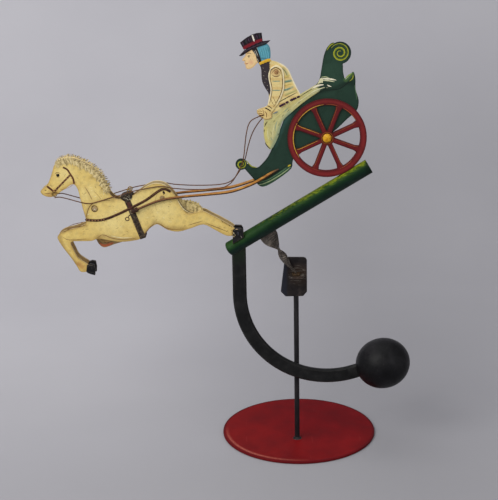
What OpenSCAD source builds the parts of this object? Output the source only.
// Balancing toy: a painted sheet-metal horse and two-wheeled cart on a sloping
// beam, with a curved arm and ball below that keep it upright on a pointed spike.
// Millimetres, +Z up, horse facing -X, origin on the table under the rod.

/* [Stand] */
// Outer diameter of the base disc
base_d = 156; // [130:1:200]
// Thickness of the base disc
base_h = 2.4; // [1.6:0.2:5]
// How far the middle of the disc is behind the rod
base_back = 23.5; // [0:0.5:30]
// Diameter of the upright rod
rod_d = 5; // [4:0.1:8]
// Height of the pivot point above the table
pivot_z = 180; // [170:1:240]
// Width of the bearing plate
plate_w = 25.6; // [22:0.2:32]
// Height of the bearing plate
plate_h = 39.4; // [32:0.2:50]
// Thickness of the bearing plate
plate_t = 2; // [1.2:0.1:3]
// Diameter of the pivot cup
cup_d = 8.4; // [7:0.1:10]
// Clearance around the turning cup
cup_gap = 0.3; // [0.2:0.05:0.5]

/* [Balance arm] */
// How far the rider stands in front of the rod
rider_y = 10; // [9.5:0.5:16]
// Diameter of the beam
beam_d = 14; // [11:0.5:16]
// Length of the beam
beam_l = 154; // [145:1:165]
// Slope of the beam in degrees
beam_slope = 30.5; // [28:0.5:33]
// Wall of the beam tube
beam_wall = 1; // [0.6:0.1:2]
// Width of the arm bar
arm_w = 13.4; // [10:0.2:16]
// Thickness of the arm bar
arm_t = 6; // [4:0.5:8]
// Radius of the arm's bow
arm_r = 86; // [82:1:92]
// Length of the ball along the arm
ball_l = 54; // [48:0.5:60]
// Diameter of the ball across the arm
ball_d = 49.6; // [44:0.1:54]
// Thickness of the spike strip
spike_t = 1.8; // [1.2:0.1:3]

/* [Horse] */
// Sheet thickness of each horse half
horse_t = 2.15; // [1:0.05:3]
// Distance of each half from the middle plane
horse_v = 6; // [5:0.5:8]
// Thickness of the harness straps
strap_t = 0.8; // [0.5:0.1:1.2]
// Diameter of the shafts at the cart
shaft_d = 3; // [2:0.1:3.6]
// Diameter of the shafts at the horse
shaft_tip_d = 2; // [1.6:0.1:2.6]
// Diameter of the reins
rein_d = 1; // [0.7:0.1:1.4]

/* [Cart and driver] */
// Sheet thickness of the cart and the driver
cart_t = 1; // [0.8:0.1:1.6]
// Outer radius of the wheels
wheel_r = 37; // [34:0.5:39]
// Width of the wheel rim
rim_w = 6; // [4:0.5:8]
// Width of a spoke
spoke_w = 4.4; // [3:0.2:6]
// Sheet thickness of the wheels
wheel_t = 1.2; // [0.8:0.1:2]
// Number of spokes
spokes = 8; // [6:1:12]
// Diameter of the axle
axle_d = 4; // [3:0.1:5]
// Diameter of the disc at the wheel's middle
hub_d = 14; // [12:0.2:18]
// Diameter of the hub caps
cap_d = 8.6; // [7:0.2:11]
// Height of the hub caps
cap_h = 2.2; // [1:0.1:3]
// Thickness of the washers beside the cart
washer_t = 0.6; // [0.4:0.1:1]

/* [Hidden] */
$fn = 64;
rod_r = rod_d / 2;
base_side = 2.5;
plate_side = -2.3;
cup_r = cup_d / 2;
beam_r = beam_d / 2;
ledge_t = 1.6;
ledge_top = -1.6;
cup_stem_r = cup_r * 0.62;
beam_dir = [cos(beam_slope), sin(beam_slope)];
beam_nrm = [-sin(beam_slope), cos(beam_slope)];
beam_front = [-63.55, 26.12];
beam_mid = beam_front + beam_l / 2 * beam_dir;
beam_rear = beam_front + beam_l * beam_dir;
arm_x = -55;
arm_bend_z = -20;
arm_end = 286;
arm_tail = 7;
arm_mid = [arm_x + arm_r, arm_bend_z];
arm_tip = arm_mid + arm_r * [cos(arm_end), sin(arm_end)];
arm_out = [-sin(arm_end), cos(arm_end)];
ball_at = arm_tip + (arm_tail - 3 + ball_l / 2) * arm_out;
wheel_in = cart_t / 2 + washer_t;
wheel_lift = sqrt(beam_r * beam_r - wheel_in * wheel_in) + wheel_r;
wheel_along = 134;
wheel_at = beam_front + wheel_along * beam_dir + wheel_lift * beam_nrm;
face = horse_v + horse_t / 2;
spacer_at = [[-190, 70], [-126, 79], [-150.8, 55]];
crest = [[-225, 113], [-218, 116.5], [-210.5, 116.8], [-204, 114.8], [-196, 111], [-188, 105], [-182, 97],
  [-176.5, 86]];
hoof_seat = sqrt(max(0.5, beam_r * beam_r - pow(horse_v - horse_t / 2 + 0.6, 2)));
shoulder_at = [-17, 194];
tug_at = [-152, 68];
shaft_v = face + strap_t + shaft_d / 2 + 0.2;
shaft_v1 = cart_t / 2 + shaft_d / 2;
rein_v = face + rein_d / 2;
hand_v = cart_t / 2 + 1 + rein_d / 2;

// smooth curve through hand-placed points
function blend(a, b, c, d, t) = 0.5 * (2 * b + (c - a) * t + (2 * a - 5 * b + 4 * c - d) * t * t
  + (3 * b - a - 3 * c + d) * t * t * t);
function ring(p, n = 3) = [for (i = [0 : len(p) - 1], k = [0 : n - 1])
  blend(p[(i + len(p) - 1) % len(p)], p[i], p[(i + 1) % len(p)], p[(i + 2) % len(p)], k / n)];
function course(p, n = 4) = concat([for (i = [0 : len(p) - 2], k = [0 : n - 1])
  blend(p[max(i - 1, 0)], p[i], p[i + 1], p[min(i + 2, len(p) - 1)], k / n)], [p[len(p) - 1]]);
function unit(v) = v / norm(v);
function heading(p, i) = unit(p[min(i + 1, len(p) - 1)] - p[max(i - 1, 0)]);
function side(p, i) = let(h = heading(p, i)) [-h[1], h[0]];
function band(p, w) = concat([for (i = [0 : len(p) - 1]) p[i] + side(p, i) * w / 2],
  [for (i = [len(p) - 1 : -1 : 0]) p[i] - side(p, i) * w / 2]);
function tufts(p, high, lean) = [for (i = [0 : len(p) - 1], k = [0, 1])
  p[i] + side(p, i) * k * high * (0.7 + 0.3 * (i * 7 % 3)) + heading(p, i) * k * lean];
function flip(p) = [for (q = p) [q[0], -q[1], q[2]]];

// moves a rider piece to the pivot
module rider() translate([0, -rider_y, pivot_z]) children();

// flat outline in x and z, of thickness t, centred at depth v
module sheet(v, t) translate([0, v + t / 2, 0]) rotate([90, 0, 0]) linear_extrude(t) children();

// round bar along y at a point of the x-z plane
module pin(at, v0, v1, d) translate([at[0], v1, at[1]]) rotate([90, 0, 0]) cylinder(d = d, h = v1 - v0);

// the solid that the beam fills, used to seat what stands on it
module beam_space(r, more = 0) translate([beam_mid[0], 0, beam_mid[1]]) rotate([0, 90 - beam_slope, 0])
  cylinder(r = r, h = beam_l + more, center = true);

// the space above (0) or below (1) a level of the beam, measured from its middle
module beam_side(low, level = 0) translate([beam_mid[0], 0, beam_mid[1]]) rotate([0, -beam_slope, 0])
  translate([-beam_l, -beam_d * 2, level - beam_d * 4 * low]) cube([beam_l * 2, beam_d * 4, beam_d * 4]);

// round wire through points in space, with one diameter for each point
module wire(p, d, n = 8) {
  m = len(p);
  tang = [for (i = [0 : m - 1]) unit(p[min(i + 1, m - 1)] - p[max(i - 1, 0)])];
  u = [for (i = [0 : m - 1]) unit(cross(tang[i], [0, 1, 0.001]))];
  w = [for (i = [0 : m - 1]) cross(tang[i], u[i])];
  pts = [for (i = [0 : m - 1], k = [0 : n - 1])
    p[i] + d[i] / 2 * (cos(360 * k / n) * u[i] + sin(360 * k / n) * w[i])];
  sides = [for (i = [0 : m - 2], k = [0 : n - 1], s = [0, 1])
    let(a = i * n + k, b = i * n + (k + 1) % n)
    s == 0 ? [a, b, b + n] : [a, b + n, a + n]];
  ends = [[for (k = [n - 1 : -1 : 0]) k], [for (k = [0 : n - 1]) (m - 1) * n + k]];
  polyhedron(pts, concat(sides, ends));
}

// outlines in the rider's plane, measured from the pivot
module horse_outline() difference() {
  polygon(ring(concat([[-240, 88], [-234, 93], [-230.5, 99], [-227.5, 107]], crest, [[-171.5, 80],
    [-164, 78.5], [-153, 82], [-141, 90], [-132, 93], [-123, 91], [-116, 84], [-112, 78], [-108, 70],
    [-103, 63.5], [-96, 63.8], [-88, 65.4], [-80, 61.3], [-72, 57], [-62, 51], [-58, 47], [-58, 42],
    [-66, 41], [-78, 47.5], [-88, 52.5], [-100, 49], [-112, 46], [-122, 48], [-130, 53], [-134, 53],
    [-141, 48], [-148, 40], [-155, 38], [-167, 37], [-179, 39], [-188, 40.5], [-195, 38.5], [-206, 38.5],
    [-214.5, 37.5], [-212, 29], [-209, 22.5], [-205, 19], [-199, 14.5], [-198, 9], [-206.5, 8], [-210, 13.5],
    [-215, 22], [-221.5, 31.5], [-226, 39.5], [-226.5, 44], [-221, 48.5], [-211, 51], [-200, 55], [-199, 60],
    [-201, 69], [-203, 79], [-205, 89], [-209, 94], [-216, 90], [-224, 85], [-230, 82], [-237, 83.5]])));
  hind_hoof_outline();
  front_hoof_outline();
}
module far_elbow_outline() polygon(ring([[-193, 42], [-191.5, 36], [-189, 31.5], [-185.5, 28.8], [-181, 29.3],
  [-174, 31.8], [-164, 35], [-160, 40], [-170, 44], [-184, 46]]));
module hind_hoof_outline() polygon([[-60.3, 46.5], [-58, 48.2], [-52, 47.8], [-50.4, 45], [-49.8, 36],
  [-49, 24], [-61, 24]]);
module front_hoof_outline() polygon([[-201.5, 8], [-200.4, 14.6], [-197, 15.8], [-193.6, 15], [-192.8, 9.5],
  [-193.2, 4.4], [-197, 5.4], [-200, 6.6]]);
module mane_outline() {
  p = course(crest, 4);
  n = len(p) - 1;
  polygon(concat(tufts(p, 1.9, 1.2), [for (i = [n : -1 : 0]) p[i] - side(p, i) * (i % 2 == 0 ? 2.6 : 4.4)]));
}
module tail_outline() {
  top = [[-116, 78.6], [-110, 76.6], [-104, 75.4], [-98.5, 74.6], [-93.5, 72.6], [-90.2, 69.4], [-89, 66.8]];
  polygon(concat(tufts(course(top, 2), 1.4, 1.2), [[-91, 64], [-97, 61.5], [-102, 60.5], [-108, 66],
    [-114, 74]]));
}
module breast_outline() polygon(band(course([[-199, 59.5], [-190, 58.5], [-181, 59.5], [-170, 63.5],
  [-158, 69], [-141, 77.5], [-126, 87.5], [-118, 85]], 3), 2.4));
module girth_outline() polygon(band(course([[-159.6, 79], [-157.2, 72.6], [-154.8, 66], [-150.6, 54],
  [-145.6, 40]], 3), 5.6));
module flap_outline() polygon(ring([[-165.4, 80.6], [-163.8, 78], [-160.6, 76.4], [-156.6, 77.4],
  [-154, 81], [-157, 83.4], [-163, 82.2]]));
module cart_outline() {
  polygon(ring([[35.7, 219.8], [31.4, 217.4], [28.4, 212.7], [26.4, 206.5], [24.4, 195], [22.5, 186],
    [18, 180], [9, 172], [-3, 158.5], [-9.5, 152], [-14, 141], [-24, 118.5], [-30, 110], [-37, 104.5],
    [-44.5, 108.5], [-50, 107], [-47, 103], [-39.5, 94],
    [-37, 90], [-32, 86.5], [-25, 88.5], [-14.5, 95], [-4, 103.5], [-2.5, 111], [2, 118], [18, 127],
    [36, 138], [48, 149], [57, 157], [59, 164], [58.5, 169], [56, 177], [55.8, 187], [53.5, 193], [47, 186],
    [44.5, 193], [44, 201], [40, 214]]));
  translate([41.6, 210.4]) circle(10.2);
  translate([-51, 108.5]) circle(5.4);
}
module body_outline() polygon(ring([[-34, 205], [-30, 206.5], [-22, 205], [-13, 202], [-6.5, 197],
  [-2, 187.5], [2, 179], [5, 171], [-2, 160], [-10, 153], [-14, 145], [-18, 135], [-22, 126],
  [-27, 128], [-29, 138], [-29, 150], [-25, 163], [-24.2, 173.5], [-27.2, 179.2], [-29.8, 184.6],
  [-30.7, 190.5], [-31, 198]]));
module hat_outline() {
  polygon([[-49.8, 221.4], [-44.3, 225.5], [-39, 228.4], [-34.5, 229.7], [-29.9, 230], [-29, 222], [-37, 218],
    [-46.5, 215]]);
  polygon([[-51, 209.3], [-46, 214.5], [-41.2, 217.2], [-35.2, 220.2], [-29.6, 222.3], [-22, 223],
    [-26, 219.5], [-33.3, 217.2], [-38.3, 215.4], [-43.5, 212.4], [-48, 209.6]]);
}
module head_outline() polygon(ring([[-44, 215], [-45, 210], [-46, 208.5], [-48.2, 205.5], [-45.8, 204.3],
  [-46.3, 202.6], [-45.2, 201.2], [-45, 198.6], [-42.5, 197.2], [-38, 199], [-34, 203], [-29, 203],
  [-23.5, 204], [-22, 211], [-24, 219], [-34, 222]]));
module arm_outline() polygon(ring([[-17, 200.5], [-11.5, 197], [-10, 190], [-10, 180], [-12, 173],
  [-15.5, 165.5], [-21.5, 157], [-22, 152], [-28, 150.5], [-34, 154.5], [-35.5, 159], [-31, 161], [-26, 163],
  [-24.5, 168], [-22.5, 178], [-24.5, 190], [-22.5, 197]]));
module robe_outline() difference() {
  polygon(ring([[-29, 144], [-29.5, 138], [-28, 129], [-23, 122], [-16, 134], [-12, 148], [-3, 157],
    [8, 166], [19, 173.5], [30, 180], [24, 183.5], [12, 177], [2, 171], [-9, 160], [-19, 151], [-26, 148]]));
  arm_outline();
}

// bar section of the arm, with its corners taken off
module arm_section() {
  w = arm_w / 2;
  t = arm_t / 2;
  c = 1.4;
  polygon([[w, c - t], [w, t - c], [w - c, t], [c - w, t], [-w, t - c], [-w, c - t], [c - w, -t],
    [w - c, -t]]);
}
module arm_end_bar() translate([arm_tip[0], 0, arm_tip[1]]) rotate([0, 360 - arm_end, 0])
  linear_extrude(arm_tail) arm_section();

// stand
module base_disc() color([0.45, 0.05, 0.06]) translate([base_side, base_back, 0])
  rotate_extrude($fn = 96) base_section();
module base_section() {
  r = base_d / 2;
  e = base_h * 0.4;
  polygon(concat([[0, 0], [r - e / 2, 0], [r, e / 2]],
    [for (a = [0 : 15 : 90]) [r - e + e * cos(a), base_h - e + e * sin(a)]], [[0, base_h]]));
}
module post_rod() color([0.12, 0.12, 0.13]) translate([0, 0, base_h])
  cylinder(r = rod_r, h = pivot_z + 4 - base_h);
module foot_weld() color([0.3, 0.08, 0.08]) translate([0, 0, base_h]) difference() {
  cylinder(r1 = rod_r + 2, r2 = rod_r + 0.4, h = 1.8);
  translate([0, 0, -1]) cylinder(r = rod_r, h = 4);
}
module bearing_plate() color([0.2, 0.2, 0.21]) translate([0, 0, pivot_z])
  translate([plate_side, 0, 0]) sheet(-rod_r - plate_t / 2, plate_t) plate_outline();
module plate_outline() {
  w = plate_w / 2;
  top = plate_h * 0.37;
  low = top - plate_h;
  polygon([[-w, low + 5], [-w + 4.6, low], [w - 3.8, low], [w, low + 4.4], [w, top - 3], [w - 0.9, top - 0.9],
    [w - 3, top], [-w + 5.4, top + 0.5], [-w + 4.2, top - 1]]);
}
module bearing_ledge() color([0.3, 0.26, 0.22]) translate([0, -rider_y, pivot_z + ledge_top - ledge_t])
  linear_extrude(ledge_t) difference() {
    union() {
      circle(plate_w * 0.3);
      translate([-plate_w * 0.3, 0]) square([plate_w * 0.6, rider_y - rod_r - plate_t]);
    }
    translate([-plate_w, rider_y - rod_r - plate_t]) square([plate_w * 2, plate_w]);
    circle(cup_stem_r + cup_gap);
  }
module pivot_cup() color([0.7, 0.55, 0.25]) translate([0, -rider_y, pivot_z]) rotate_extrude()
  polygon([[0, ledge_top - ledge_t - 0.6], [cup_stem_r, ledge_top - ledge_t - 0.6],
    [cup_stem_r, ledge_top + 0.1], [cup_r, ledge_top + 0.1], [cup_r, 0.1], [cup_r - 0.4, 0.5],
    [cup_r * 0.65, 0.5], [0, -0.5]]);

// beam, arm, ball and spike
module beam() color([0.16, 0.36, 0.18]) rider() difference() {
  beam_space(beam_r);
  beam_space(beam_r - beam_wall, 2);
}
module beam_cap_front() color([0.14, 0.32, 0.18]) rider()
  translate([beam_front[0], 0, beam_front[1]])
  rotate([0, 270 - beam_slope, 0]) rotate_extrude()
    polygon(concat([[0, -4], [beam_r - beam_wall, -4], [beam_r - beam_wall, 0]],
      [for (a = [0 : 15 : 90]) [beam_r * cos(a), 3 * sin(a)]]));
module beam_cap_rear() color([0.12, 0.2, 0.14]) rider()
  translate([beam_rear[0], 0, beam_rear[1]])
  rotate([0, 90 - beam_slope, 0]) translate([0, 0, -3.5]) cylinder(r = beam_r - beam_wall, h = 3.2);
module balance_arm() color([0.12, 0.12, 0.13]) rider() {
  difference() {
    translate([arm_x, 0, arm_bend_z]) linear_extrude(beam_r * 2 - arm_bend_z + 20) arm_section();
    beam_space(beam_r, 8);
    beam_side(0);
  }
  translate([arm_mid[0], 0, arm_mid[1]]) rotate([90, 0, 0]) rotate([0, 0, 180])
    rotate_extrude(angle = arm_end - 180, $fn = 120) translate([arm_r, 0]) arm_section();
  arm_end_bar();
}
module balance_ball() color([0.1, 0.1, 0.11]) rider() difference() {
  translate([ball_at[0], 0, ball_at[1]]) rotate([0, 360 - arm_end, 0]) rotate_extrude()
    polygon([for (a = [-90 : 9 : 90]) [ball_d / 2 * cos(a), ball_l / 2 * sin(a)]]);
  arm_end_bar();
}
module pivot_spike() color([0.25, 0.23, 0.22]) rider() difference() {
  twisted_strip();
  beam_space(beam_r);
}
module twisted_strip() {
  p = course([[-29, 43.5, 17, 0], [-24.5, 36, 16.5, 14], [-17.6, 27, 9.4, 78], [-11.9, 16.2, 7.4, 178],
    [-7.3, 9.3, 4.6, 240], [-2.2, 3.2, 1.8, 270], [0, -0.1, 0.7, 270]], 5);
  m = len(p);
  xy = [for (q = p) [q[0], q[1]]];
  pts = [for (i = [0 : m - 1], k = [0 : 3])
    let(n = side(xy, i), c = cos(p[i][3]), s = sin(p[i][3]), a = p[i][2] / 2, b = min(spike_t, p[i][2]) / 2,
      e = (k == 0 || k == 3 ? 1 : -1) * a, g = (k < 2 ? 1 : -1) * b)
    [p[i][0] + (e * c - g * s) * n[0], e * s + g * c, p[i][1] + (e * c - g * s) * n[1]]];
  walls = [for (i = [0 : m - 2], k = [0 : 3], s = [0, 1])
    let(a = i * 4 + k, b = i * 4 + (k + 1) % 4) s == 0 ? [a, b + 4, b] : [a, a + 4, b + 4]];
  polyhedron(pts, concat(walls, [[0, 1, 2], [0, 2, 3], [4 * m - 2, 4 * m - 3, 4 * m - 4],
    [4 * m - 1, 4 * m - 2, 4 * m - 4]]));
}

// horse and harness
module horse_half(s) color([0.85, 0.76, 0.52]) rider() difference() {
  sheet(s * horse_v, horse_t) {
    horse_outline();
    if (s > 0) far_elbow_outline();
  }
  for (q = spacer_at) pin(q, -face - 1, face + 1, 3);
}
module horse_near() horse_half(-1);
module horse_far() horse_half(1);
module horse_spacers() color([0.6, 0.5, 0.3]) rider() for (i = [0 : 2]) {
  pin(spacer_at[i], -face, face, 3);
  pin(spacer_at[i], -horse_v + horse_t / 2, horse_v - horse_t / 2, 5);
  if (i < 2) {
    pin(spacer_at[i], -face - 0.8, -face, 4.6);
    pin(spacer_at[i], face, face + 0.8, 4.6);
  }
}
module hind_hooves() color([0.1, 0.1, 0.1]) rider() difference() {
  for (s = [-1, 1]) sheet(s * horse_v, horse_t + 1) hind_hoof_outline();
  beam_space(beam_r);
  beam_side(1, hoof_seat);
}
module front_hooves() color([0.1, 0.1, 0.1]) rider()
  for (s = [-1, 1]) sheet(s * horse_v, horse_t + 1) front_hoof_outline();
module manes() color([0.6, 0.55, 0.4]) rider() for (s = [-1, 1])
  sheet(s * (face + 0.3), 0.6) mane_outline();
module tail() color([0.6, 0.53, 0.36]) rider() sheet(-(horse_v - horse_t / 2 - 0.5), 1) tail_outline();
module bridle(s) color([0.25, 0.13, 0.08]) rider() sheet(s * (face + 0.3), 0.6) difference() {
  union() {
    polygon(band([[-233.5, 92.5], [-226, 86]], 1.8));
    polygon(band([[-228, 86.5], [-211.5, 102.5]], 1.6));
    polygon(band(course([[-217.5, 110.3], [-213.6, 108], [-211, 103.6], [-208.8, 99.6], [-208, 94.5]], 3),
      1.6));
  }
  mane_outline();
}
module bridle_near() bridle(-1);
module bridle_far() bridle(1);
module bit_rings() color([0.7, 0.6, 0.35]) rider() for (s = [-1, 1])
  translate([-227, s * (face + 1.1), 85]) rotate([90, 0, 0]) rotate_extrude($fn = 32)
    translate([2.2, 0]) circle(0.5, $fn = 16);
module breast_strap(s) color([0.25, 0.13, 0.08]) rider()
  sheet(s * (face + strap_t / 2), strap_t) breast_outline();
module breast_strap_near() breast_strap(-1);
module breast_strap_far() breast_strap(1);
module girth() color([0.22, 0.12, 0.08]) rider() {
  for (s = [-1, 1]) sheet(s * (face + strap_t / 2), strap_t) difference() {
    girth_outline();
    breast_outline();
    flap_outline();
  }
  sheet(0, 2 * face) difference() {
    girth_outline();
    horse_outline();
    translate([-180, 45]) square([60, 60]);
  }
}
module saddle() color([0.2, 0.14, 0.1]) rider() {
  for (s = [-1, 1]) sheet(s * (face + strap_t / 2), strap_t) flap_outline();
  sheet(0, 2 * face + strap_t) difference() {
    flap_outline();
    horse_outline();
  }
}
module saddle_rings() color([0.7, 0.6, 0.35]) rider() for (s = [-1, 1])
  translate([-157, s * 5, 85.9]) rotate([90, 0, 0]) rotate_extrude($fn = 32)
    translate([1.9, 0]) circle(0.5, $fn = 16);

shaft_path = [[-154, -shaft_v, 67.2], [-132, -shaft_v, 76], [-113, -shaft_v, 79.7], [-85, -shaft_v, 82],
  [-65, -shaft_v, 83.8], [-53, -shaft_v + 0.6, 86.6], [-40, -shaft_v + 2.6, 91.2],
  [-30, -shaft_v1 - 1.2, 95.8], [-22, -shaft_v1, 100.2], [-16, -shaft_v1, 103.4]];
module shaft(path) color([0.6, 0.38, 0.14]) rider() {
  p = course(path, 3);
  m = len(p);
  wire(p, [for (i = [0 : m - 1]) min(shaft_d, shaft_tip_d + (shaft_d - shaft_tip_d) * i / (m * 0.4),
    shaft_d * (m + 1.5 - i) / 6)]);
}
module shaft_near() shaft(shaft_path);
module shaft_far() shaft(flip(shaft_path));
module tug_bar(s, r, h) translate([tug_at[0], s * shaft_v, tug_at[1]]) rotate([0, 68, 0])
  cylinder(r = r, h = h, center = true);
module shaft_tugs() color([0.2, 0.12, 0.08]) rider() for (s = [-1, 1]) difference() {
  tug_bar(s, shaft_tip_d / 2 + 1.2, 6);
  tug_bar(s, shaft_tip_d / 2 + 0.25, 20);
  translate([-170, -face - strap_t, 50]) cube([40, 2 * (face + strap_t), 40]);
}

back_path = [[-72, -8.6, 87.5], [-95, -9.2, 87], [-115, -8.9, 88.5], [-126, -8.5, 90.5], [-140, -8.9, 88.8],
  [-153, -face - 2.2, 86.5], [-165, -face - 2.1, 83], [-174, -face - 1, 80.5], [-185, -rein_v, 77],
  [-195, -rein_v, 75], [-205, -rein_v, 77], [-213, -rein_v, 79.5], [-222, -face - 0.9, 81.9],
  [-227, -face - 1.1, 81.5]];
near_path = concat([[-29, -hand_v, 155], [-36, -hand_v, 152.5], [-42.5, -2.3, 148], [-46, -2.4, 136],
  [-49, -cart_t / 2 - rein_d / 2 - 0.1, 113], [-54, -3.2, 102], [-61, -6.2, 92]], back_path);
far_path = concat([[-27, hand_v, 154], [-33, hand_v, 148.5], [-39.5, 2.3, 138.5], [-44, 2.3, 126],
  [-47.5, cart_t / 2 + rein_d / 2 + 0.1, 112.5], [-53, 3.2, 101], [-60.5, 6.2, 91.5]], flip(back_path));
module rein(path) color([0.4, 0.22, 0.1]) rider() {
  p = course(path, 3);
  wire(p, [for (q = p) rein_d], 6);
}
module rein_near() rein(near_path);
module rein_far() rein(far_path);

// cart and wheels
module cart_panel() color([0.1, 0.22, 0.15]) rider() difference() {
  sheet(0, cart_t) cart_outline();
  pin(wheel_at, -5, 5, axle_d);
}
module axle() color([0.5, 0.5, 0.5]) rider() pin(wheel_at, -wheel_in - wheel_t, wheel_in + wheel_t, axle_d);
module hub_washers() color([0.5, 0.5, 0.5]) rider() difference() {
  pin(wheel_at, -wheel_in, wheel_in, axle_d + 5);
  pin(wheel_at, -cart_t / 2, cart_t / 2, axle_d + 20);
  pin(wheel_at, -10, 10, axle_d);
}
module wheel(s) color([0.5, 0.13, 0.12]) rider() translate([wheel_at[0], 0, wheel_at[1]])
  sheet(s * (wheel_in + wheel_t / 2), wheel_t) difference() {
    union() {
      difference() {
        circle(wheel_r, $fn = 120);
        circle(wheel_r - rim_w, $fn = 120);
      }
      circle(d = hub_d);
      for (i = [0 : spokes - 1]) rotate(24 + i * 360 / spokes) polygon([[4, -spoke_w / 2],
        [wheel_r - rim_w - 4, -spoke_w / 2], [wheel_r - rim_w + 1, -spoke_w * 0.8],
        [wheel_r - rim_w + 1, spoke_w * 0.8], [wheel_r - rim_w - 4, spoke_w / 2], [4, spoke_w / 2]]);
    }
    circle(d = axle_d);
  }
module wheel_near() wheel(-1);
module wheel_far() wheel(1);
module hub_caps() color([0.85, 0.65, 0.15]) rider() for (s = [-1, 1])
  translate([wheel_at[0], s * (wheel_in + wheel_t), wheel_at[1]]) rotate([-90 * s, 0, 0]) rotate_extrude()
    polygon(concat([[0, 0]], [for (a = [0 : 15 : 90]) [cap_d / 2 * cos(a), cap_h * sin(a)]]));

// driver
module lap_robes() color([0.8, 0.76, 0.62]) rider()
  for (s = [-1, 1]) sheet(s * (cart_t / 2 + 0.5), 1) robe_outline();
module driver_body() color([0.8, 0.78, 0.68]) rider() difference() {
  sheet(0, cart_t) difference() {
    body_outline();
    cart_outline();
  }
  pin(shoulder_at, -5, 5, 2.4);
}
module driver_head() color([0.85, 0.7, 0.56]) rider() sheet(0, cart_t + 0.6) difference() {
  head_outline();
  body_outline();
  hat_outline();
}
module top_hat() color([0.12, 0.1, 0.11]) rider() sheet(0, cart_t + 1) hat_outline();
module driver_arm(s) color([0.78, 0.75, 0.64]) rider() difference() {
  sheet(s * (cart_t / 2 + 0.5), 1) arm_outline();
  pin(shoulder_at, -5, 5, 2.4);
}
module driver_arm_near() driver_arm(-1);
module driver_arm_far() driver_arm(1);
module shoulder_rivet() color([0.4, 0.28, 0.16]) rider() {
  v = cart_t / 2 + 1;
  pin(shoulder_at, -v, v, 2.4);
  for (s = [-1, 1]) translate([shoulder_at[0], s * v, shoulder_at[1]]) rotate([-90 * s, 0, 0])
    rotate_extrude($fn = 32) polygon(concat([[0, 0]], [for (a = [0 : 15 : 90]) [2.4 * cos(a), 1 * sin(a)]]));
}

base_disc();
post_rod();
foot_weld();
bearing_plate();
bearing_ledge();
pivot_cup();
pivot_spike();
beam();
beam_cap_front();
beam_cap_rear();
balance_arm();
balance_ball();
horse_near();
horse_far();
horse_spacers();
hind_hooves();
front_hooves();
manes();
tail();
bridle_near();
bridle_far();
bit_rings();
breast_strap_near();
breast_strap_far();
girth();
saddle();
saddle_rings();
shaft_near();
shaft_far();
shaft_tugs();
rein_near();
rein_far();
cart_panel();
axle();
hub_washers();
wheel_near();
wheel_far();
hub_caps();
lap_robes();
driver_body();
driver_head();
top_hat();
driver_arm_near();
driver_arm_far();
shoulder_rivet();
